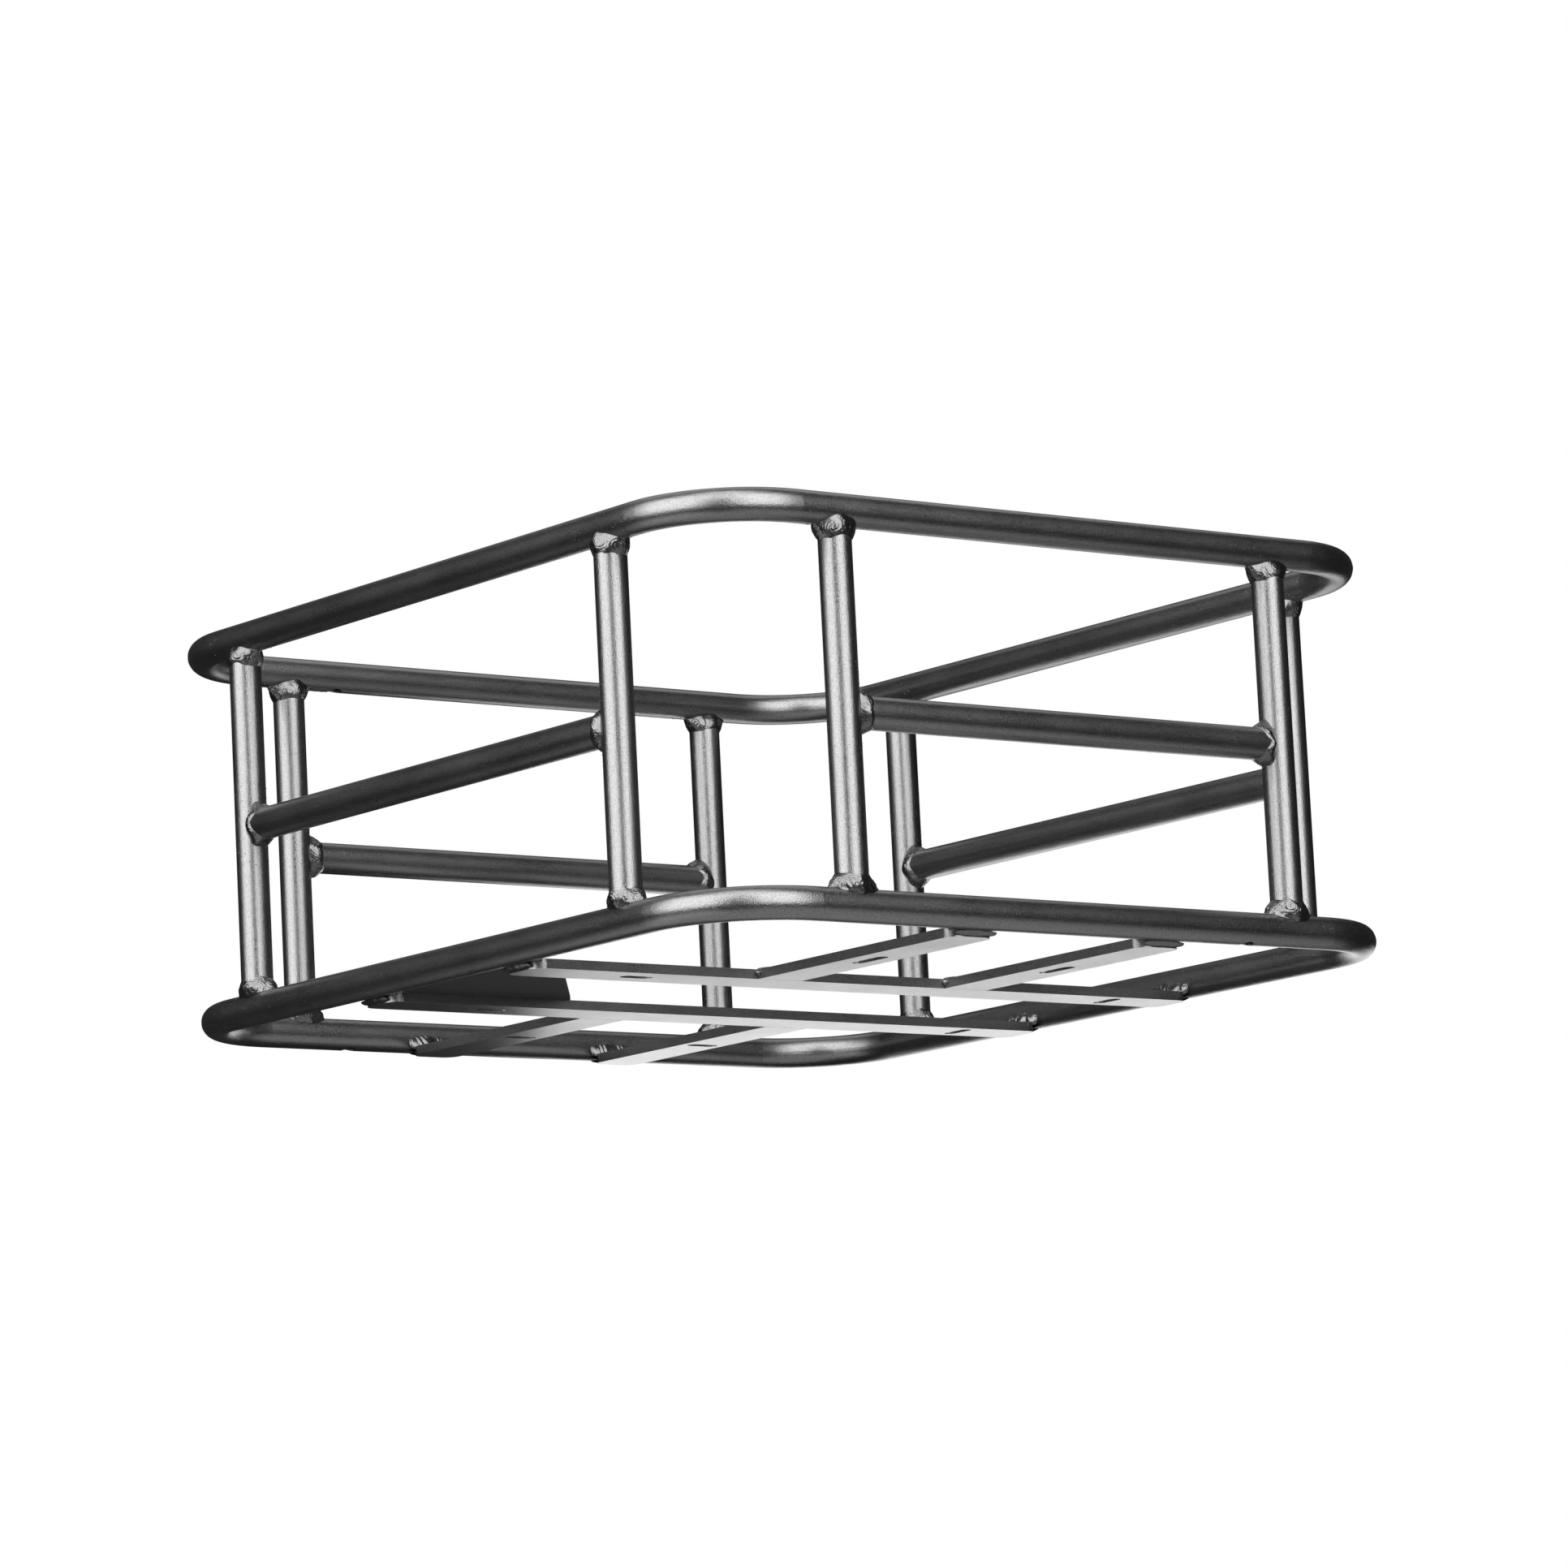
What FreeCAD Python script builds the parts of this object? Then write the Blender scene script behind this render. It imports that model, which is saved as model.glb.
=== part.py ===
import FreeCAD, Part
import math
import os

# Welded luggage basket: two closed tube rings, one above the other, held apart by eight
# uprights and four mid rails, with a base of six slotted flat bars and one tie plate.
# Units are millimetres. Z is up, X runs along the shorter sides and Y along the longer ones.
# The origin is the middle of the basket, on the plane that the base bars rest on.
# The sides are called front (-Y), back (+Y), left (-X) and right (+X).

V = FreeCAD.Vector
ORIGIN = V(0, 0, 0)
X_AXIS = V(1, 0, 0)
Y_AXIS = V(0, 1, 0)
Z_AXIS = V(0, 0, 1)

# Tube frame
RING_X = 416.0                # ring along X, between tube centre-lines
RING_Y = 458.0                # ring along Y, between tube centre-lines
RING_BEND_RADIUS = 52.0       # corner bend of a ring, at the tube's centre-line
RING_RISE = 186.0             # from the lower ring's centre-line to the upper ring's
RAIL_RISE = 91.0              # from the lower ring's centre-line to the mid rails'
TUBE_OD = 16.0
TUBE_WALL = 1.5
UPRIGHT_INSET_X = 75.0        # front and back uprights, in from the ring's corner
UPRIGHT_INSET_Y = 74.0        # left and right uprights, in from the ring's corner
COPE_GAP = 0.2                # air left in a coped joint before it is welded
DRAIN_DIAMETER = 8.0          # drain hole in the underside of a ring
DRAIN_INSET = 103.0           # drain hole, in from the ring's corner

# Base bars
BAR_WIDTH = 26.0
BAR_THICKNESS = 4.7
BAR_PROUD = 2.4               # how far the bars' undersides stand below the lower ring
BAR_CORNER_RADIUS = 7.0       # rounded corners at the ends welded to the ring
BAR_GAP = 0.3                 # air at the end of a bar before it is welded
LONG_BAR_SPACING = 120.0      # between the two long bars' centre-lines
SHORT_BAR_SPACING = 115.0     # between two short bars' centre-lines

# Bolt slots in the base bars
SLOT_WIDTH = 6.5
SLOT_LENGTH = 18.0
FRONT_SLOT_LENGTH = 24.0      # the slots along the front short bars are longer
LEFT_SLOT_INSET = 74.0        # slots along the long bars, in from the ring's centre-line
RIGHT_SLOT_INSET = 49.0       # slots across the long bars, in from the ring's centre-line
SHORT_BAR_SLOT_INSET = 85.0   # short bars' slots, in from the ring's centre-line

# Tie plate, laid over the gap between the long bars against the left side of the ring
PLATE_THICKNESS = 3.0
PLATE_LAP = 5.0               # how far it laps onto each long bar
PLATE_FRONT_REACH = 36.0      # from the ring's centre-line, at the front long bar
PLATE_BACK_REACH = 116.0      # from the ring's centre-line, at the back long bar
PLATE_NOTCH = 17.0            # from the ring's centre-line, clear of the bars' end welds

# Weld beads
BEAD_ALONG = 5.5              # how far a bead spreads along the tube that runs through
BEAD_UP = 6.5                 # how far it climbs the tube that butts on
BEAD_SIDE = 1.8               # how far it stands out at the side of the joint
BAR_BEAD = 5.0                # bead round a bar's end, out from the end
BUTT_BEAD = 2.6               # bead on a short bar's inner end, to each side of the joint
PLATE_BEAD = 2.0              # bead along the tie plate's ends

# Places worked out from the sizes above
TUBE_RADIUS = TUBE_OD / 2
LOWER_Z = BAR_PROUD + TUBE_RADIUS
UPPER_Z = LOWER_Z + RING_RISE
RAIL_Z = LOWER_Z + RAIL_RISE
HALF_X = RING_X / 2
HALF_Y = RING_Y / 2
UPRIGHT_X = HALF_X - UPRIGHT_INSET_X
UPRIGHT_Y = HALF_Y - UPRIGHT_INSET_Y
DRAIN_X = HALF_X - DRAIN_INSET
LONG_BAR_Y = LONG_BAR_SPACING / 2
SHORT_BAR_X = SHORT_BAR_SPACING / 2
PLATE_Y = LONG_BAR_Y - BAR_WIDTH / 2 + PLATE_LAP
OVERCUT = 1.0                 # how far a cutter runs past the faces that it cuts


def flank(z):
    """How far the lower ring's surface stands from its centre-line at height z."""
    return math.sqrt(max(TUBE_RADIUS ** 2 - (z - LOWER_Z) ** 2, 0.0))


BAR_END_X = HALF_X - flank(BAR_THICKNESS) - BAR_GAP
BAR_END_Y = HALF_Y - flank(BAR_THICKNESS) - BAR_GAP
SIDES = (("front", "left", -1, -1), ("front", "right", 1, -1),
         ("back", "left", -1, 1), ("back", "right", 1, 1))


def save(node, shape):
    """Write one sub-part."""
    shape.exportStep("parts/" + node + ".step")


def rod(start, end, radius):
    """Solid round bar between two points."""
    along = end - start
    return Part.makeCylinder(radius, along.Length, start, along)


def ring_solid(z, radius):
    """Solid round bar bent into the basket's closed rounded rectangle at height z."""
    straight_x = HALF_X - RING_BEND_RADIUS
    straight_y = HALF_Y - RING_BEND_RADIUS
    pieces = []
    for side in (-1, 1):
        pieces.append(rod(V(-straight_x, side * HALF_Y, z), V(straight_x, side * HALF_Y, z), radius))
        pieces.append(rod(V(side * HALF_X, -straight_y, z), V(side * HALF_X, straight_y, z), radius))
    for sx, sy, start in ((1, 1, 0), (-1, 1, 90), (-1, -1, 180), (1, -1, 270)):
        bend = Part.makeTorus(RING_BEND_RADIUS, radius, ORIGIN, Z_AXIS, -180, 180, 90)
        bend.rotate(ORIGIN, Z_AXIS, start)
        bend.translate(V(sx * straight_x, sy * straight_y, z))
        pieces.append(bend)
    return pieces[0].multiFuse(pieces[1:]).removeSplitter()


def drain_hole(x, y, z):
    """Drill through the underside wall of a ring whose centre-line is at z."""
    return rod(V(x, y, z - TUBE_OD), V(x, y, z), DRAIN_DIAMETER / 2)


def ring(z, drains):
    """Closed ring of tube, with drain holes in its underside."""
    tube = ring_solid(z, TUBE_RADIUS).cut(ring_solid(z, TUBE_RADIUS - TUBE_WALL))
    return tube.cut([drain_hole(x, y, z) for x, y in drains])


def coped_tube(start, end, run_direction):
    """Tube from one run tube's centre-line to another's, its ends shaped to fit round them."""
    tube = rod(start, end, TUBE_RADIUS).cut(rod(start, end, TUBE_RADIUS - TUBE_WALL))
    reach = run_direction * TUBE_OD
    copes = [rod(point - reach, point + reach, TUBE_RADIUS + COPE_GAP) for point in (start, end)]
    return tube.cut(copes)


def slot(x, y, length, along_x):
    """Cutter for a slot through a base bar, centred at x, y."""
    half = (length - SLOT_WIDTH) / 2
    step = V(half, 0, 0) if along_x else V(0, half, 0)
    centre = V(x, y, -OVERCUT)
    height = BAR_THICKNESS + 2 * OVERCUT
    ends = [Part.makeCylinder(SLOT_WIDTH / 2, height, centre + shift) for shift in (step, -step)]
    size = (2 * half, SLOT_WIDTH) if along_x else (SLOT_WIDTH, 2 * half)
    corner = centre - V(size[0] / 2, size[1] / 2, 0)
    middle = Part.makeBox(size[0], size[1], height, corner)
    return middle.multiFuse(ends)


def above(z):
    """Space over the whole basket from height z upwards."""
    return Part.makeBox(2 * RING_X, 2 * RING_Y, RING_RISE, V(-RING_X, -RING_Y, z))


def flat_bar(low_x, high_x, low_y, high_y, is_ring_end):
    """Flat bar on the rest plane, with rounded corners at the ends that meet the ring."""
    bar = Part.makeBox(high_x - low_x, high_y - low_y, BAR_THICKNESS, V(low_x, low_y, 0))
    uprights = [edge for edge in bar.Edges if abs(edge.tangentAt(edge.FirstParameter).z) > 0.5]
    corners = [edge for edge in uprights if is_ring_end(edge.CenterOfMass)]
    return bar.makeFillet(BAR_CORNER_RADIUS, corners)


def long_bar(sy):
    """Bar across the whole base: a slot along it at the left and one across it at the right."""
    y = sy * LONG_BAR_Y
    bar = flat_bar(-BAR_END_X, BAR_END_X, y - BAR_WIDTH / 2, y + BAR_WIDTH / 2, lambda corner: True)
    left = slot(LEFT_SLOT_INSET - HALF_X, y, SLOT_LENGTH, True)
    right = slot(HALF_X - RIGHT_SLOT_INSET, y, SLOT_LENGTH, False)
    return bar.cut([left, right])


def short_bar(sx, sy):
    """Bar from a long bar out to the ring: its slot runs along it in front and across it behind."""
    x = sx * SHORT_BAR_X
    inner = LONG_BAR_Y + BAR_WIDTH / 2 + BAR_GAP
    low_y, high_y = sorted((sy * inner, sy * BAR_END_Y))
    bar = flat_bar(x - BAR_WIDTH / 2, x + BAR_WIDTH / 2, low_y, high_y,
                   lambda corner: abs(corner.y) > (inner + BAR_END_Y) / 2)
    length = FRONT_SLOT_LENGTH if sy < 0 else SLOT_LENGTH
    return bar.cut(slot(x, sy * (HALF_Y - SHORT_BAR_SLOT_INSET), length, sy > 0))


def tie_plate():
    """Plate between the long bars: it meets the ring, and is notched clear of the bars' end welds."""
    ring_edge = flank(BAR_THICKNESS + PLATE_THICKNESS) + BAR_GAP - HALF_X
    notch_edge = PLATE_NOTCH - HALF_X
    inner = LONG_BAR_Y - BAR_WIDTH / 2
    outline = [(ring_edge, -inner), (notch_edge, -inner), (notch_edge, -PLATE_Y),
               (PLATE_FRONT_REACH - HALF_X, -PLATE_Y), (PLATE_BACK_REACH - HALF_X, PLATE_Y),
               (notch_edge, PLATE_Y), (notch_edge, inner), (ring_edge, inner)]
    points = [V(x, y, BAR_THICKNESS) for x, y in outline]
    face = Part.Face(Part.makePolygon(points + points[:1]))
    return face.extrude(V(0, 0, PLATE_THICKNESS))


def ellipsoid(centre, semi_x, semi_y, semi_z):
    """Solid ellipsoid with its axes along X, Y and Z."""
    stretch = FreeCAD.Matrix()
    stretch.scale(semi_x, semi_y, semi_z)
    shape = Part.makeSphere(1.0).transformGeometry(stretch)
    shape.translate(centre)
    return shape


def tee_bead():
    """Bead round a tube that stands along +Z on a run tube along X, both through the origin."""
    along = TUBE_RADIUS + BEAD_ALONG
    up = BEAD_UP / math.sqrt(1 - (TUBE_RADIUS / along) ** 2)
    lump = ellipsoid(V(0, 0, TUBE_RADIUS), along, TUBE_RADIUS + BEAD_SIDE, up)
    run = rod(-TUBE_OD * X_AXIS * 2, TUBE_OD * X_AXIS * 2, TUBE_RADIUS)
    branch = rod(ORIGIN, TUBE_OD * Z_AXIS * 2, TUBE_RADIUS)
    return lump.cut([run, branch])


def placed(shape, turns, place):
    """Copy of a shape, turned about each axis in the list in order, then moved."""
    copy = shape.copy()
    for axis, angle in turns:
        copy.rotate(ORIGIN, axis, angle)
    copy.translate(place)
    return copy


def bar_end_bead(x, y, along_x):
    """Bead round the end of a bar at x, y, ground flat where the base rests."""
    across = BAR_WIDTH / 2 + BEAD_SIDE
    along = flank(BAR_THICKNESS) + BAR_GAP + BAR_BEAD / 2
    semi_x, semi_y = (along, across) if along_x else (across, along)
    return ellipsoid(V(x, y, BAR_THICKNESS), semi_x, semi_y, BAR_BEAD).common(above(0))


def butt_bead(x, sy):
    """Bead on top of the joint between the short bar at x and its long bar."""
    y = sy * (LONG_BAR_Y + (BAR_WIDTH + BAR_GAP) / 2)
    lump = ellipsoid(V(x, y, BAR_THICKNESS), BAR_WIDTH / 2, BUTT_BEAD, BUTT_BEAD)
    return lump.common(above(BAR_THICKNESS))


def plate_bead(reach, sy):
    """Bead along one end of the tie plate, on top of the long bar that it laps."""
    half = (reach - PLATE_NOTCH) / 2
    centre = V(PLATE_NOTCH + half - HALF_X, sy * PLATE_Y, BAR_THICKNESS)
    low_y = PLATE_Y if sy > 0 else -PLATE_Y - BAR_WIDTH
    beyond = Part.makeBox(RING_X, BAR_WIDTH, BAR_WIDTH, V(-HALF_X, low_y, BAR_THICKNESS))
    return ellipsoid(centre, half, PLATE_BEAD, PLATE_BEAD).common(beyond)


os.makedirs("parts", exist_ok=True)

# Rings
lower_ring = ring(LOWER_Z, [(DRAIN_X, -HALF_Y), (-DRAIN_X, HALF_Y)])
upper_ring = ring(UPPER_Z, [(-DRAIN_X, HALF_Y)])
save("lower_ring", lower_ring)
save("upper_ring", upper_ring)

# Uprights, and the beads at their two ends
bead = tee_bead()
lower_beads = []
upper_beads = []
for end_name, side_name, sx, sy in SIDES:
    spots = (("upright_" + end_name + "_" + side_name, sx * UPRIGHT_X, sy * HALF_Y, X_AXIS, 0),
             ("upright_" + side_name + "_" + end_name, sx * HALF_X, sy * UPRIGHT_Y, Y_AXIS, 90))
    for node, x, y, run_direction, turn in spots:
        save(node, coped_tube(V(x, y, LOWER_Z), V(x, y, UPPER_Z), run_direction))
        lower_beads.append(placed(bead, [(Z_AXIS, turn)], V(x, y, LOWER_Z)))
        upper_beads.append(placed(bead, [(X_AXIS, 180), (Z_AXIS, turn)], V(x, y, UPPER_Z)))
save("welds_lower_ring", Part.makeCompound(lower_beads))
save("welds_upper_ring", Part.makeCompound(upper_beads))

# Mid rails between the uprights of each side, and their beads
rail_beads = []
for node, reach, turn in (("rail_front", V(UPRIGHT_X, 0, 0), 0), ("rail_right", V(0, UPRIGHT_Y, 0), 90),
                          ("rail_back", V(-UPRIGHT_X, 0, 0), 180), ("rail_left", V(0, -UPRIGHT_Y, 0), 270)):
    side_distance = HALF_Y if turn % 180 == 0 else HALF_X
    outward = FreeCAD.Rotation(Z_AXIS, turn).multVec(V(0, -side_distance, RAIL_Z))
    save(node, coped_tube(outward - reach, outward + reach, Z_AXIS))
    rail_beads.append(placed(bead, [(Y_AXIS, 90), (Z_AXIS, turn)], outward - reach))
    rail_beads.append(placed(bead, [(Y_AXIS, -90), (Z_AXIS, turn)], outward + reach))
save("welds_rails", Part.makeCompound(rail_beads))

# Base bars, and the beads where they meet the ring and each other
bars = []
end_beads = []
butt_beads = []
for name, sy in (("front", -1), ("back", 1)):
    bars.append(long_bar(sy))
    save("long_bar_" + name, bars[-1])
    for sx in (-1, 1):
        end_beads.append(bar_end_bead(sx * BAR_END_X, sy * LONG_BAR_Y, True))
for end_name, side_name, sx, sy in SIDES:
    bars.append(short_bar(sx, sy))
    save("short_bar_" + end_name + "_" + side_name, bars[-1])
    end_beads.append(bar_end_bead(sx * SHORT_BAR_X, sy * BAR_END_Y, False))
    butt_beads.append(butt_bead(sx * SHORT_BAR_X, sy))

# Tie plate, and its beads
plate = tie_plate()
plate_beads = [plate_bead(PLATE_FRONT_REACH, -1), plate_bead(PLATE_BACK_REACH, 1)]
save("tie_plate", plate)
save("welds_tie_plate", Part.makeCompound(plate_beads))

metal = [ring_solid(LOWER_Z, TUBE_RADIUS), plate] + bars
save("welds_bar_ends", Part.makeCompound([lump.cut(metal) for lump in end_beads]))
save("welds_short_bars", Part.makeCompound(butt_beads))
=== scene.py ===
import math
import random

import bmesh
import bpy
from mathutils import Matrix, Vector, noise


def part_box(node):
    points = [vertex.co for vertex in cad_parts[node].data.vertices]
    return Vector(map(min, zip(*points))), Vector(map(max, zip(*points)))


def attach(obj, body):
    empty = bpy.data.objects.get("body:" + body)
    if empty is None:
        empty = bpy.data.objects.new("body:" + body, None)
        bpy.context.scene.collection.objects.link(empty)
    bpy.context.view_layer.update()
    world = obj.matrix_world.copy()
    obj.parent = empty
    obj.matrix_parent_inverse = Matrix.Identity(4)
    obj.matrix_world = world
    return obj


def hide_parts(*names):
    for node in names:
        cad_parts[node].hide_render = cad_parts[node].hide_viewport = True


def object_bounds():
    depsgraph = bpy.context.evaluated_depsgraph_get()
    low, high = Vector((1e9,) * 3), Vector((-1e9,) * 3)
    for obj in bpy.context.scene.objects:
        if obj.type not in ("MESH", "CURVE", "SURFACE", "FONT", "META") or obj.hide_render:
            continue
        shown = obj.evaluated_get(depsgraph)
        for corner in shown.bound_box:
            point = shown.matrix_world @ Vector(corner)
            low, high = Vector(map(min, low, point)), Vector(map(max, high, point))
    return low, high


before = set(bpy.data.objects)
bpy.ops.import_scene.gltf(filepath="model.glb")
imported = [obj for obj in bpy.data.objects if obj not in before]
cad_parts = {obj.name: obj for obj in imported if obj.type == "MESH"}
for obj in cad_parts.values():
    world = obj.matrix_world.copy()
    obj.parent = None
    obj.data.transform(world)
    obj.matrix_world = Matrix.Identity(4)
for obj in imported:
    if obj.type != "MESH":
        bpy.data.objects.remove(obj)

cad_low, cad_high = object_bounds()

# ---------------------------------------------------------------------------------------------
# Rings. Two closed loops of round steel tube, each bent from one length. The whole basket is
# powder coated after welding: satin black with a fine metallic grain and a slight orange peel.


class Reading:
    """One value on its way through a finish's nodes. Arithmetic on it adds the Math nodes."""

    def __init__(self, mix, socket):
        self.mix = mix
        self.socket = socket

    def worked(self, operation, first, second):
        return self.mix.add("ShaderNodeMath", {"operation": operation}, {0: first, 1: second})

    def __add__(self, other):
        return self.worked("ADD", self, other)

    def __radd__(self, other):
        return self.worked("ADD", other, self)

    def __mul__(self, other):
        return self.worked("MULTIPLY", self, other)

    def __rmul__(self, other):
        return self.worked("MULTIPLY", other, self)


class Mix:
    """The nodes of one finish or light, made one after another."""

    def __init__(self, tree):
        self.tree = tree
        self.tree.nodes.clear()

    def add(self, kind, settings=None, sockets=None, output=0):
        """Add a node, set it up, feed its sockets and give back one of its outputs."""
        node = self.tree.nodes.new(kind)
        for name, value in (settings or {}).items():
            if name == "stops":
                for stop, (position, shade) in zip(node.color_ramp.elements, value):
                    stop.position = position
                    stop.color = shade
            else:
                setattr(node, name, value)
        for name, value in (sockets or {}).items():
            if isinstance(value, Reading):
                self.tree.links.new(value.socket, node.inputs[name])
            else:
                node.inputs[name].default_value = value
        return Reading(self, node.outputs[output]) if node.outputs else None


class Coat(Mix):
    """A material under way: its nodes, ending in one Principled shader."""

    def __init__(self, name):
        self.material = bpy.data.materials.new(name)
        self.material.use_nodes = True
        super().__init__(self.material.node_tree)

    def grain(self, size, detail=1.0, turn=(0, 0, 0)):
        """Noise from 0 to 1 with lumps about size metres across, its grid turned by the angles."""
        spot = self.add("ShaderNodeTexCoord", output="Object")
        place = self.add("ShaderNodeMapping", None, {"Vector": spot, "Rotation": turn})
        return self.add("ShaderNodeTexNoise", None, {
            "Vector": place, "Scale": 1 / size, "Detail": detail})

    def ramp(self, reading, low, high, low_shade=0.0, high_shade=1.0):
        """Grey that goes from one shade to another as a reading goes from low to high."""
        stops = [(low, (low_shade,) * 3 + (1,)), (high, (high_shade,) * 3 + (1,))]
        return self.add("ShaderNodeValToRGB", {"stops": stops}, {"Fac": reading})

    def sprayed(self, height, relief, **shader):
        """Close the material with a relief of that many metres and the shader's own values."""
        values = {name.replace("_", " "): value for name, value in shader.items()}
        values["Normal"] = self.add("ShaderNodeBump", None, {
            "Height": height, "Distance": relief, "Strength": 1.0})
        skin = self.add("ShaderNodeBsdfPrincipled", None, values, "BSDF")
        self.add("ShaderNodeOutputMaterial", None, {"Surface": skin})
        return self.material


grit_size = 0.00058
flake_size = 0.0006
peel_size = 0.0026
cloud_size = 0.03


def powder_coat(name, shade, roughness, relief, peel_share=0.2, **shader):
    """Satin black powder: metal grit in a dark binder, orange peel, and a few proud flakes."""
    coat = Coat(name)
    grit = coat.grain(grit_size)
    peel = coat.grain(peel_size, turn=(0.4, 1.1, 0.2))
    flake = coat.ramp(coat.grain(flake_size, turn=(0.9, 0.3, 1.3)), 0.72, 0.78)
    cloud = coat.grain(cloud_size, detail=3.0)
    height = grit * (1 - peel_share) + peel * peel_share + flake * 0.5
    lustre = coat.ramp(grit, 0.28, 0.60) * 0.7 + peel * peel_share + cloud * 0.2
    tone = coat.ramp(lustre, 0.0, 1.0, shade * 0.65, shade * 1.30)
    rough = cloud * 0.08 + grit * 0.08 + (roughness - 0.08)
    values = {"Metallic": 1.0, "Base_Color": tone, "Roughness": rough} | shader
    return coat.sprayed(height, relief, **values)


tube_coat = powder_coat("tube_coat", shade=0.22, roughness=0.30, relief=0.00014)

for node in ("lower_ring", "upper_ring"):
    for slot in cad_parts[node].material_slots:
        slot.material = tube_coat

ring_low, ring_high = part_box("lower_ring")
tube_radius = (ring_high.z - ring_low.z) / 2
lower_z = (ring_high.z + ring_low.z) / 2
upper_z = sum(corner.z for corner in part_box("upper_ring")) / 2
half_x = ring_high.x - tube_radius
half_y = ring_high.y - tube_radius

# ---------------------------------------------------------------------------------------------
# Uprights and mid rails. Straight lengths of the same tube, coped at both ends to sit round the
# tube that they meet, and welded all round.

corners = [("front", "left"), ("front", "right"), ("back", "left"), ("back", "right")]
uprights = [f"upright_{end}_{side}" for end, side in corners]
uprights += [f"upright_{side}_{end}" for end, side in corners]
rails = ["rail_front", "rail_right", "rail_back", "rail_left"]
X = Vector((1, 0, 0))
Y = Vector((0, 1, 0))
Z = Vector((0, 0, 1))
same_spot = 1e-6


def copied(node):
    """Copy of a sub-part's shell with its triangles joined up."""
    shell = bmesh.new()
    shell.from_mesh(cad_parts[node].data)
    bmesh.ops.remove_doubles(shell, verts=shell.verts, dist=same_spot)
    return shell


def trimmed(shell, place, outward):
    """The shell with what lies past a plane cut away, and the cut closed."""
    everything = list(shell.verts) + list(shell.edges) + list(shell.faces)
    cut = bmesh.ops.bisect_plane(shell, geom=everything, plane_co=place, plane_no=outward,
                                 clear_outer=True)
    rim = [edge for edge in cut["geom_cut"] if isinstance(edge, bmesh.types.BMEdge)]
    bmesh.ops.holes_fill(shell, edges=rim)
    return shell


def as_piece(name, shells, material, slot_name, *nodes):
    """Join the shells into one smooth piece that stands for the nodes."""
    mesh = bpy.data.meshes.new(name)
    whole = bmesh.new()
    for shell in shells:
        part = bpy.data.meshes.new(name + "_part")
        shell.to_mesh(part)
        shell.free()
        whole.from_mesh(part)
        bpy.data.meshes.remove(part)
    whole.to_mesh(mesh)
    whole.free()
    mesh.polygons.foreach_set("use_smooth", [True] * len(mesh.polygons))
    mesh.materials.append(material)
    piece = bpy.data.objects.new(name, mesh)
    bpy.context.scene.collection.objects.link(piece)
    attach(piece, "root")
    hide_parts(*nodes)
    return piece


crease = math.radians(40)
square_cut = tube_radius + 0.0004
for node in uprights + rails:
    low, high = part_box(node)
    centre = (low + high) / 2
    size = high - low
    way = max((X, Y, Z), key=size.dot)
    shell = copied(node)
    for sign in (-1, 1):
        met = centre + way * sign * (size.dot(way) / 2)
        shell = trimmed(shell, met - way * sign * square_cut, way * sign)
    tube = as_piece(node + "_tube", [shell], tube_coat, "tube_coat", node)
    tube.data.set_sharp_from_angle(angle=crease)

# ---------------------------------------------------------------------------------------------
# Weld beads round the tubes' joints. Each is one pass of filler laid round the joint, so it has
# coin-like ripples across it, fat in the two crotches and thin at the sides. The coat pools on
# it a little glossier than on the tube.

# Painted shade: the weld coat's tone is darker than the tube coat's, to stand for the shade on the
# beads.
weld_coat = powder_coat("weld_coat", shade=0.155, roughness=0.27, relief=0.00006)
dice = random.Random(7)


def wander(dice, slowest, fastest):
    """An uneven line round a closed joint, from about -1 to 1 over turns from 0 to 1."""
    waves = [(n, dice.uniform(0, math.tau), dice.uniform(0.5, 1))
             for n in range(slowest, fastest + 1)]
    most = sum(size for _, _, size in waves) * 0.7
    return lambda turn: sum(size * math.sin(math.tau * n * turn + start)
                            for n, start, size in waves) / most


def bow(first, control, last, share):
    """A point on the curve from first to last that leans towards control."""
    return first * (1 - share) ** 2 + control * 2 * share * (1 - share) + last * share ** 2


def blend(low, high, share):
    """A value that share of the way from low to high."""
    return low + (high - low) * share


def pooled(dice, count, depth=0.1, tightness=22):
    """Relief of a bead laid in short dabs: each a low dome with the rings of its freezing."""
    pools = []
    for number in range(count):
        pools.append(((number + dice.uniform(-0.3, 0.3)) / count, dice.uniform(0.3, 0.7),
                      dice.uniform(0.7, 1.15) / count, dice.uniform(0.5, 0.95),
                      dice.uniform(0.6, 1.2), dice.uniform(0, math.tau)))

    def relief(turn, share):
        rise = 0.0
        for middle_turn, middle_share, reach, width, height, start in pools:
            along = ((turn - middle_turn + 0.5) % 1 - 0.5) / reach
            off = along ** 2 + ((share - middle_share) / width) ** 2
            if off < 1:
                rings = depth * math.sin(start + tightness * math.sqrt(off) + 9 * along)
                rise = max(rise, height * (1 - off) + rings * (1 - off) ** 0.5)
        return rise

    return relief


bead_depth = 0.0009
skin_share = 0.8


def bead_place(joint, dice, count, crumple):
    """Where the bead's skin lies: joint gives both toes, the root and the way out at a turn."""
    relief = pooled(dice, count, depth=0.13, tightness=30)
    depth = bead_depth * blend(0.5, 1.0, crumple)

    def place(turn, across):
        near, far, root, out, bulge = joint(turn)
        if across > skin_share:
            return bow(far, root, near, (across - skin_share) / (1 - skin_share))
        share = across / skin_share
        crown = math.sin(math.pi * share) ** 0.6
        skin = bow(near, (near + far) / 2 + out * bulge * 2, far, share)
        lump = noise.noise(skin * 900) * 0.18 + noise.noise(skin * 350) * 0.45 * crumple
        return skin + out * depth * crown * (relief(turn, share) - 0.45 + lump)

    return place


steps_along = 220
steps_across = 34
seam_gap = 1e-7


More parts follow.
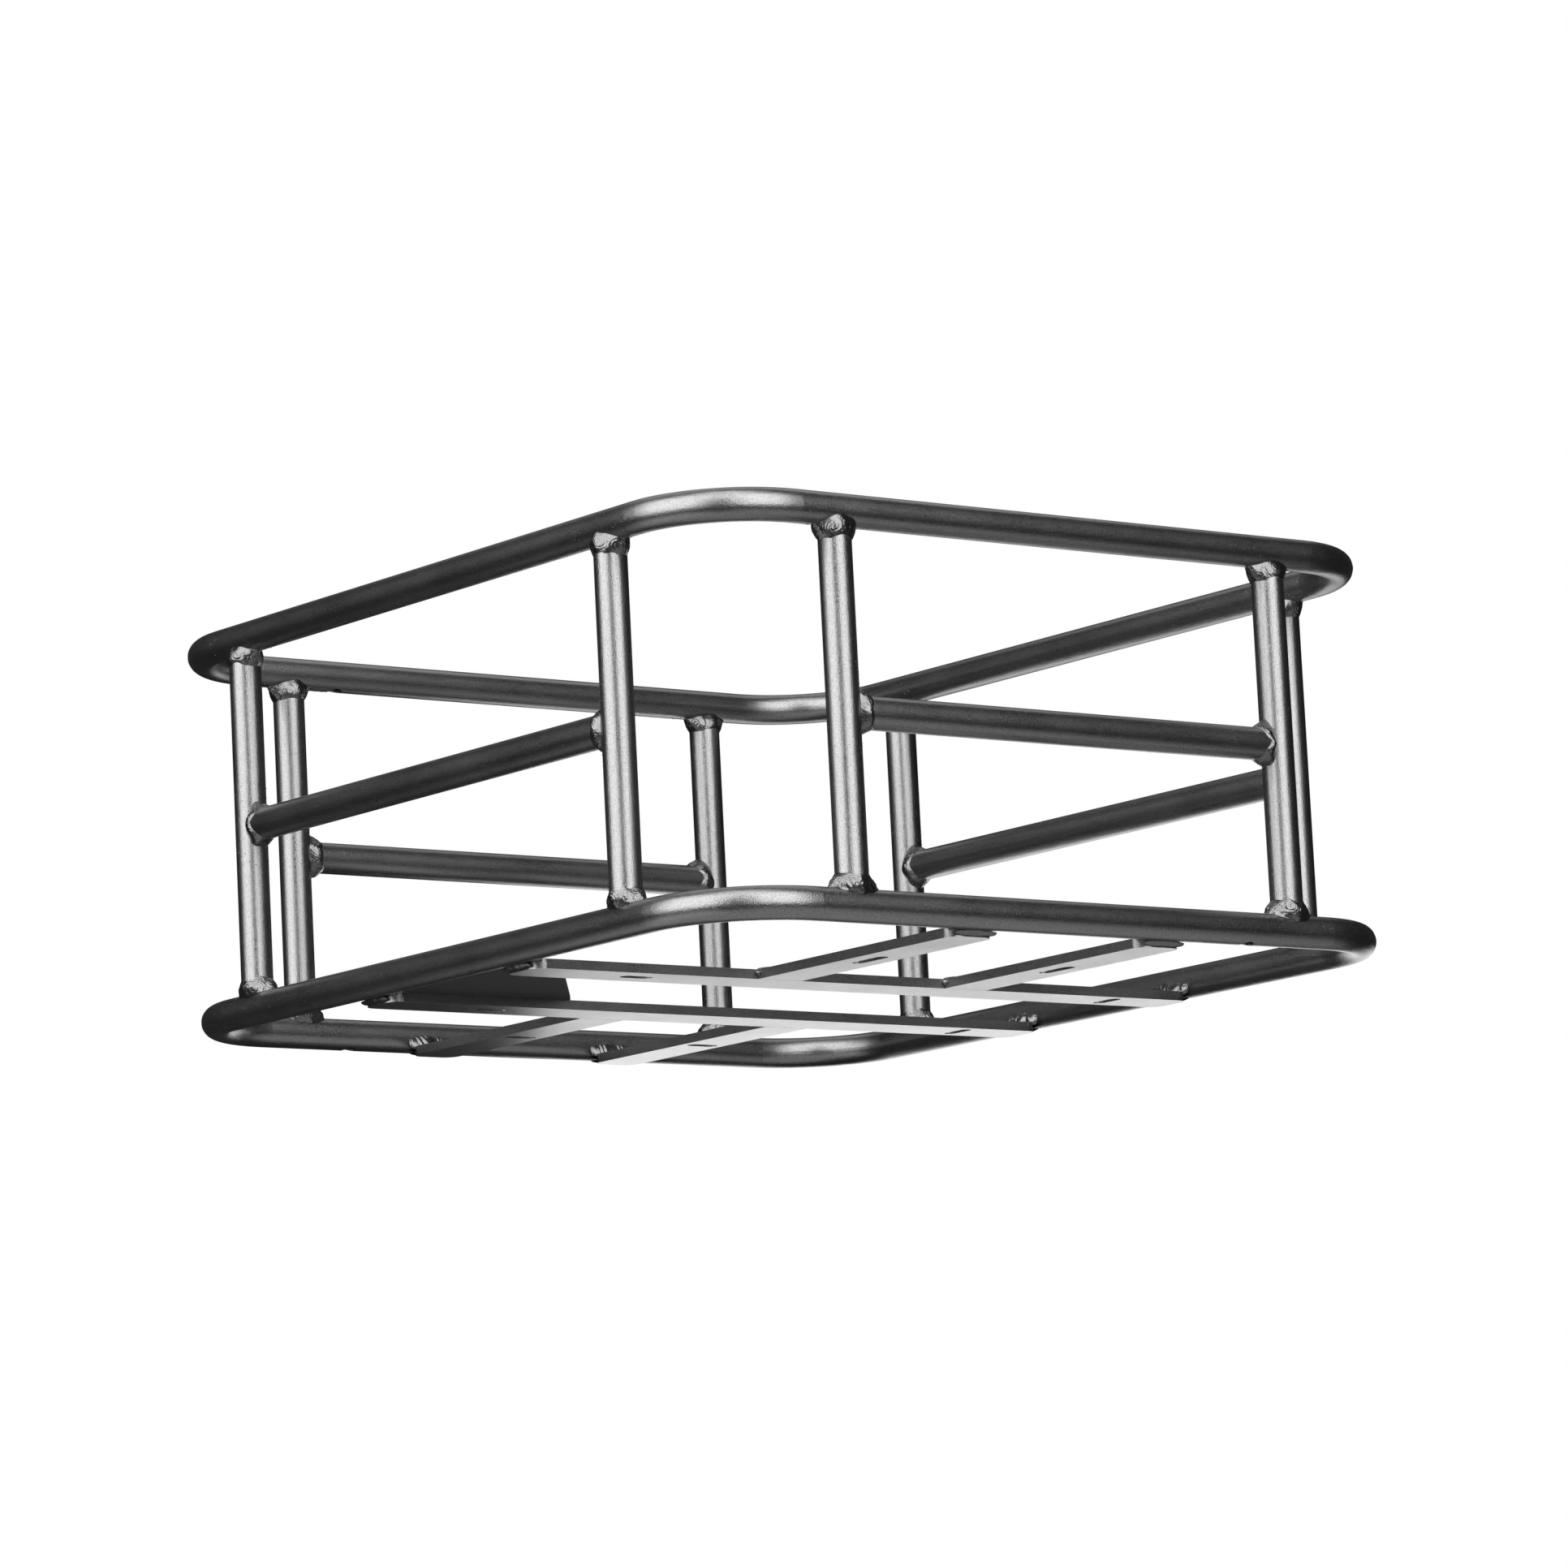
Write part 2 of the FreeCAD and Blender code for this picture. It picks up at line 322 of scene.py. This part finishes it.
def bead_shell(place, seat):
    """Closed bead: a sheet rolled up both ways, laid where place says and put on its seat."""
    shell = bmesh.new()
    bmesh.ops.create_grid(shell, x_segments=steps_along, y_segments=steps_across, size=0.5)
    for vertex in shell.verts:
        vertex.co = seat @ place(vertex.co.x + 0.5, vertex.co.y + 0.5)
    bmesh.ops.remove_doubles(shell, verts=shell.verts, dist=seam_gap)
    bmesh.ops.recalc_face_normals(shell, faces=shell.faces)
    return shell


side_spread = 0.0012
spread_stray = 0.0010
crotch_climb = tube_radius + 0.0070
climb_stray = 0.0009
side_bulge = 0.0014
crotch_bulge = 0.0001
toe_radius = tube_radius - 0.00006


def tee_joint(dice, spread, side_toe, side_climb):
    """The toes and root of a bead where a tube along Z ends on a like tube along X."""
    run_wander = wander(dice, 1, 8)
    climb_wander = wander(dice, 1, 8)
    bulge_wander = wander(dice, 1, 3)
    wrap = math.acos(side_toe / tube_radius)

    def joint(turn):
        angle = math.tau * turn
        round_branch = Vector((math.cos(angle), math.sin(angle), 0))
        crotch = abs(round_branch.x) ** 1.4
        along = blend(side_spread, spread, crotch) + spread_stray * run_wander(turn)
        up = blend(side_climb, crotch_climb, crotch) + climb_stray * climb_wander(turn)
        lean = wrap * round_branch.y * (1 + 0.08 * run_wander(turn))
        round_run = Vector((0, math.sin(lean), math.cos(lean)))
        near = X * (tube_radius + along) * round_branch.x + round_run * toe_radius
        far = round_branch * toe_radius + Z * up
        root = Vector((0.8 * round_branch.x, 0.7 * round_branch.y, 0.9)) * tube_radius
        out = (round_branch * 1.3 + round_run).normalized()
        bulge = blend(side_bulge, crotch_bulge, crotch) * (1 + 0.25 * bulge_wander(turn))
        return near, far, root, out, bulge

    return joint


def moved(shell, seat):
    """The shell put on its seat."""
    bmesh.ops.transform(shell, matrix=seat, verts=shell.verts)
    return shell


def facing(place, along, normal):
    """Matrix that sets X along a seam, Z out of the bead and the origin at place."""
    turned = Matrix((along, normal.cross(along), normal)).transposed()
    return Matrix.Translation(place) @ turned.to_4x4()


def spatter(seat, dice):
    """Fine drops that the arc threw on the tube beside the bead."""
    drops = bmesh.new()
    for _ in range(dice.randint(14, 34)):
        along = dice.choice((-1, 1)) * (tube_radius + dice.uniform(0.004, 0.014))
        angle = dice.uniform(-1.9, 1.9)
        spot = Vector((along, tube_radius * math.sin(angle), tube_radius * math.cos(angle)))
        size = dice.uniform(0.00014, 0.00036)
        seat_of_drop = Matrix.Translation(spot)
        bmesh.ops.create_icosphere(drops, subdivisions=1, radius=size, matrix=seat_of_drop)
    return moved(drops, seat)


def tee_weld(place, run, branch, spread, side_toe, side_climb, crumple):
    """One whole bead round a tube's end, and the spatter beside it."""
    joint = tee_joint(dice, spread, side_toe * dice.uniform(0.7, 1.3), side_climb)
    laid = bead_place(joint, dice, dice.randint(6, 9), crumple)
    seat = facing(place, run, branch)
    return [bead_shell(laid, seat), spatter(seat, dice)]


foot_bead = {"spread": 0.0062, "side_toe": 0.0045, "side_climb": 0.0138, "crumple": 1.0}
head_bead = {"spread": 0.0046, "side_toe": 0.0044, "side_climb": 0.0136, "crumple": 0.45}
rail_bead = {"spread": 0.0036, "side_toe": 0.0046, "side_climb": 0.0116, "crumple": 0.35}

lower_beads = []
upper_beads = []
for node in uprights:
    low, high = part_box(node)
    centre = (low + high) / 2
    on_long_side = abs(abs(centre.x) - half_x) < tube_radius
    run = Y if on_long_side else X
    foot = Vector((centre.x, centre.y, lower_z))
    head = Vector((centre.x, centre.y, upper_z))
    lower_beads += tee_weld(foot, run, Z, **foot_bead)
    upper_beads += tee_weld(head, run, -Z, **head_bead)
as_piece("ring_foot_beads", lower_beads, weld_coat, "weld_coat", "welds_lower_ring")
as_piece("ring_head_beads", upper_beads, weld_coat, "weld_coat", "welds_upper_ring")

rail_beads = []
posts = [sum(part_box(node), Vector()) / 2 for node in uprights]
for node in rails:
    low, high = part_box(node)
    centre = (low + high) / 2
    size = high - low
    way = max((X, Y), key=size.dot)
    for sign in (-1, 1):
        end = centre + way * sign * (size.dot(way) / 2)
        post = min(posts, key=lambda spot: (spot.xy - end.xy).length)
        met = Vector((post.x, post.y, centre.z))
        rail_beads += tee_weld(met, Z, -way * sign, **rail_bead)
as_piece("rail_end_beads", rail_beads, weld_coat, "weld_coat", "welds_rails")

# ---------------------------------------------------------------------------------------------
# Base bars. Hot-rolled flat with rolled edges: two run right across, and four butt onto them
# from the ring. The slots are punched, so their rims are crisp.

bar_coat = powder_coat("bar_coat", shade=0.22, roughness=0.30, relief=0.00016, peel_share=0.3)
flat_enough = math.radians(0.5)
steep = math.radians(60)
on_outline = 1e-5


def softened(node, rim):
    """Copy of a sub-part's shell with whole faces and its straight outline rounded over.

    The bevel skips the slots' edges, which stay crisp.
    """
    shell = copied(node)
    bmesh.ops.dissolve_limit(shell, angle_limit=flat_enough, verts=shell.verts, edges=shell.edges)
    low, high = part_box(node)
    outline = []
    for edge in shell.edges:
        halfway = (edge.verts[0].co + edge.verts[1].co) / 2
        from_low = halfway - low
        from_high = high - halfway
        inset = min(from_low.x, from_high.x, from_low.y, from_high.y)
        if inset < on_outline and edge.is_manifold and edge.calc_face_angle(0) > steep:
            outline.append(edge)
    bmesh.ops.bevel(shell, geom=outline, offset=rim, offset_type="OFFSET", affect="EDGES",
                    segments=4, profile=0.5, material=-1, clamp_overlap=True)
    bmesh.ops.dissolve_degenerate(shell, dist=same_spot, edges=shell.edges)
    return shell


def flat_faced(piece):
    """Shade the broad faces flat right up to their rounded rims."""
    piece.data.set_sharp_from_angle(angle=crease)
    shading = piece.modifiers.new("flat_faces", "WEIGHTED_NORMAL")
    shading.keep_sharp = True
    shading.weight = 100


bars = ["long_bar_front", "long_bar_back"]
bars += [f"short_bar_{end}_{side}" for end, side in corners]
bar_rim = 0.0014
for node in bars:
    flat_faced(as_piece(node + "_flat", [softened(node, bar_rim)], bar_coat, "bar_coat", node))

# ---------------------------------------------------------------------------------------------
# Beads at the base bars' ends and on the butts. Filler laid straight across a bar: a fan on
# top and a thin run underneath where the bar meets the ring, and a low run where a short bar
# butts onto a long one. Frozen drops end the fans and the butts' runs.


def laid_bead(length, width, height, relief, underside):
    """A straight run of filler along X, domed along Z with a relief, cut flat underneath."""
    lump = bmesh.new()
    bmesh.ops.create_uvsphere(lump, u_segments=48, v_segments=110, radius=1.0)
    for vertex in lump.verts:
        along, side, rise = vertex.co.z, vertex.co.x, vertex.co.y
        fat = math.sqrt(max(1 - along ** 2, 0))
        full = fat ** 0.55 / fat if fat > 1e-6 else 0
        share = math.atan2(rise, side) / math.pi
        swell = relief(along / 2 + 0.5, share) if rise > 0 else 0.0
        grown = 1 + 0.55 * (swell - 0.4) * fat
        wider = 1 + 0.25 * (grown - 1)
        vertex.co = Vector((along * length / 2, side * full * width / 2 * wider,
                            rise * full * height * grown))
    trimmed(lump, Z * underside, -Z)
    bmesh.ops.recalc_face_normals(lump, faces=lump.faces)
    return lump


def dab(place, size):
    """Small frozen drop at the end of a run."""
    drop = bmesh.new()
    bmesh.ops.create_uvsphere(drop, u_segments=24, v_segments=16, radius=size)
    for vertex in drop.verts:
        vertex.co += vertex.co * 0.3 * noise.noise(vertex.co * 500 + place * 50)
        vertex.co += place
    return drop


low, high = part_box("long_bar_front")
bar_width = high.y - low.y
bar_top = high.z
bar_bottom = low.z
to_bar_end = half_x - high.x
fan_inset = 0.0010
fan_lift = 0.0022
fan_drops = [(0.0128, 0.0013), (0.0142, 0.0008)]
long_bar_nose = 0.0205
short_bar_nose = 0.0240
nose_outset = 0.0016
nose_lift = 0.0016
end_beads = []
for node in bars:
    low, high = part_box(node)
    centre = (low + high) / 2
    if node.startswith("long"):
        ends = [(X * sign, Vector((half_x * sign, centre.y, 0)), long_bar_nose)
                for sign in (-1, 1)]
    else:
        sign = math.copysign(1, centre.y)
        ends = [(Y * sign, Vector((centre.x, half_y * sign, 0)), short_bar_nose)]
    for way, seat, nose_length in ends:
        seam = Z.cross(way)
        fan_way = (-way * 0.8 + Z * 0.6).normalized()
        fan_at = seat - way * (to_bar_end + fan_inset) + Z * (bar_top + fan_lift)
        fan = laid_bead(length=0.0300, width=0.0120, height=0.0029,
                        relief=pooled(dice, 3, depth=0.2, tightness=15), underside=-0.0012)
        nose_way = (way * 0.45 - Z * 0.89).normalized()
        nose_at = seat - way * (to_bar_end - nose_outset) + Z * (bar_bottom + nose_lift)
        nose = laid_bead(nose_length, width=0.0050, height=0.0006,
                         relief=pooled(dice, 4, depth=0.05, tightness=15), underside=-0.0015)
        end_beads.append(moved(fan, facing(fan_at, seam, fan_way)))
        nose = moved(nose, facing(nose_at, seam, nose_way))
        end_beads.append(trimmed(nose, Z * (bar_bottom + 0.0001), -Z))
        last = dice.choice((-1, 1))
        for reach, size in fan_drops:
            drop_at = fan_at + seam * last * reach + fan_way * dice.uniform(0.0008, 0.0016)
            end_beads.append(dab(drop_at, size))
as_piece("bar_end_beads", end_beads, weld_coat, "weld_coat", "welds_bar_ends")

butt_overlap = 0.00015
butt_drop = 0.0017
drop_inset = 0.0004
drop_below = 0.0019
butt_beads = []
for node in bars[2:]:
    low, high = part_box(node)
    centre = (low + high) / 2
    sign = math.copysign(1, centre.y)
    seam_y = min(low.y, high.y, key=abs)
    place = Vector((centre.x, seam_y - butt_overlap * sign, high.z))
    run = laid_bead(length=0.0258, width=0.0068, height=0.0013,
                    relief=pooled(dice, 4, depth=0.05), underside=-0.0008)
    butt_beads.append(moved(run, Matrix.Translation(place)))
    for side in (-1, 1):
        corner = Vector((centre.x + side * bar_width / 2, seam_y + drop_inset * sign,
                         high.z - drop_below))
        butt_beads.append(dab(corner, butt_drop))
as_piece("bar_butt_beads", butt_beads, weld_coat, "weld_coat", "welds_short_bars")

# ---------------------------------------------------------------------------------------------
# Tie plate. Thin sheet laid over the gap between the long bars against the left side of the
# ring, and held by a plain bead along each bar. Its dull near-black tone is painted shade, for
# the shade that the plate lies in.

# Painted shade: the plate's near-black tone stands for the shade it lies in, not a colour of its own.
plate_coat = powder_coat("plate_coat", shade=0.024, roughness=0.85, relief=0.00010,
                         Metallic=0.0, Specular_IOR_Level=0.24)
plate_rim = 0.0004
plate_shell = softened("tie_plate", plate_rim)
flat_faced(as_piece("tie_plate_sheet", [plate_shell], plate_coat, "plate_coat", "tie_plate"))
as_piece("tie_plate_beads", [copied("welds_tie_plate")], weld_coat, "weld_coat", "welds_tie_plate")

# ---------------------------------------------------------------------------------------------
# Floor, camera and lights. A pale floor far below, because the camera looks up at the basket
# from under its base. Two tall softboxes stand in front, one hangs above and one high behind,
# and white cards throw light up at the tubes' undersides and in under the base bars.

floor_drop = 4.0
floor_reach = 60.0
sheet = bmesh.new()
bmesh.ops.create_grid(sheet, x_segments=1, y_segments=1, size=floor_reach)
bmesh.ops.translate(sheet, verts=sheet.verts, vec=-Z * floor_drop)
floor_mesh = bpy.data.meshes.new("floor")
sheet.to_mesh(floor_mesh)
sheet.free()
paper = Coat("floor_paper")
face = paper.add("ShaderNodeBsdfPrincipled", None, {
    "Base Color": (0.8, 0.8, 0.8, 1), "Roughness": 0.9, "Emission Color": (1, 1, 1, 1),
    "Emission Strength": 0.95}, "BSDF")
paper.add("ShaderNodeOutputMaterial", None, {"Surface": face})
floor_mesh.materials.append(paper.material)
floor = bpy.data.objects.new("floor", floor_mesh)
bpy.context.scene.collection.objects.link(floor)
floor.visible_glossy = False
floor.visible_diffuse = False

eye = Vector((-2.22665, -2.88311, -0.46853))
look = Vector((0.60456, 0.78089, 0.15723)).normalized()
right = Vector((0.79454, -0.60520, -0.04936))
right = (right - look * right.dot(look)).normalized()

lens = bpy.data.cameras.new("camera")
lens.sensor_width = 36
lens.lens = 170.16
lens.shift_x = 0.00227
lens.shift_y = -0.00117
lens.clip_start = 0.1
lens.clip_end = 100
camera = bpy.data.objects.new("camera", lens)
camera.matrix_world = facing(eye, right, -look)
bpy.context.scene.collection.objects.link(camera)
bpy.context.scene.camera = camera


def lamp_at(name, place, way, width, height, brightness):
    """White rectangular light at a place, shining along a way."""
    lamp = bpy.data.lights.new(name, "AREA")
    lamp.shape = "RECTANGLE"
    lamp.size = width
    lamp.size_y = height
    lamp.energy = brightness * math.pi * width * height
    holder = bpy.data.objects.new(name, lamp)
    holder.location = place
    holder.rotation_euler = way.to_track_quat("-Z", "Y").to_euler()
    bpy.context.scene.collection.objects.link(holder)
    return holder


middle = (cad_low + cad_high) / 2


def softbox(name, bearing, elevation, distance, width, height, brightness):
    """Light that faces the basket's middle, at a bearing to the right of the camera's."""
    level = Vector((eye.x - middle.x, eye.y - middle.y, 0)).normalized()
    level = Matrix.Rotation(math.radians(bearing), 3, "Z") @ level
    tilt = math.radians(elevation)
    way = level * math.cos(tilt) + Z * math.sin(tilt)
    lamp_at(name, middle + way * distance, -way, width, height, brightness)


softbox("softbox_left", bearing=-49, elevation=25, distance=2.4, width=2.9, height=3.4, brightness=3.5)
softbox("softbox_right", bearing=31, elevation=25, distance=2.4, width=2.2, height=3.4, brightness=3.5)
softbox("softbox_top", bearing=-6, elevation=72, distance=2.4, width=1.3, height=1.0, brightness=2.5)
softbox("softbox_rear", bearing=180, elevation=58, distance=2.6, width=2.4, height=1.2, brightness=1.0)


def card(name, place, way, width, height, brightness):
    """White card that throws light at the basket, and that the camera doesn't see."""
    lamp_at(name, place, way, width, height, brightness).visible_camera = False


away = Vector((look.x, look.y, 0)).normalized()
beside = Vector((right.x, right.y, 0)).normalized()
behind = away * 0.60 + beside * 0.20 - Z * 0.085
card("card_behind", behind, -away, width=0.68, height=0.19, brightness=2.1)
card("card_front", Vector((0.10, -0.40, -0.46)), Z, width=1.10, height=1.10, brightness=0.5)
card("card_left", Vector((-0.55, 0.02, -0.46)), Z, width=0.80, height=0.90, brightness=0.8)

room_shade = 0.026
world = bpy.data.worlds.new("studio")
bpy.context.scene.world = world
world.use_nodes = True
air = Mix(world.node_tree)
seen = air.add("ShaderNodeLightPath", output="Is Camera Ray")
dim = air.add("ShaderNodeBackground", None, {"Color": (room_shade,) * 3 + (1,)})
bright = air.add("ShaderNodeBackground", None, {"Color": (1, 1, 1, 1)})
either = air.add("ShaderNodeMixShader", None, {0: seen, 1: dim, 2: bright})
air.add("ShaderNodeOutputWorld", None, {"Surface": either})
bpy.context.scene.view_settings.view_transform = "Standard"
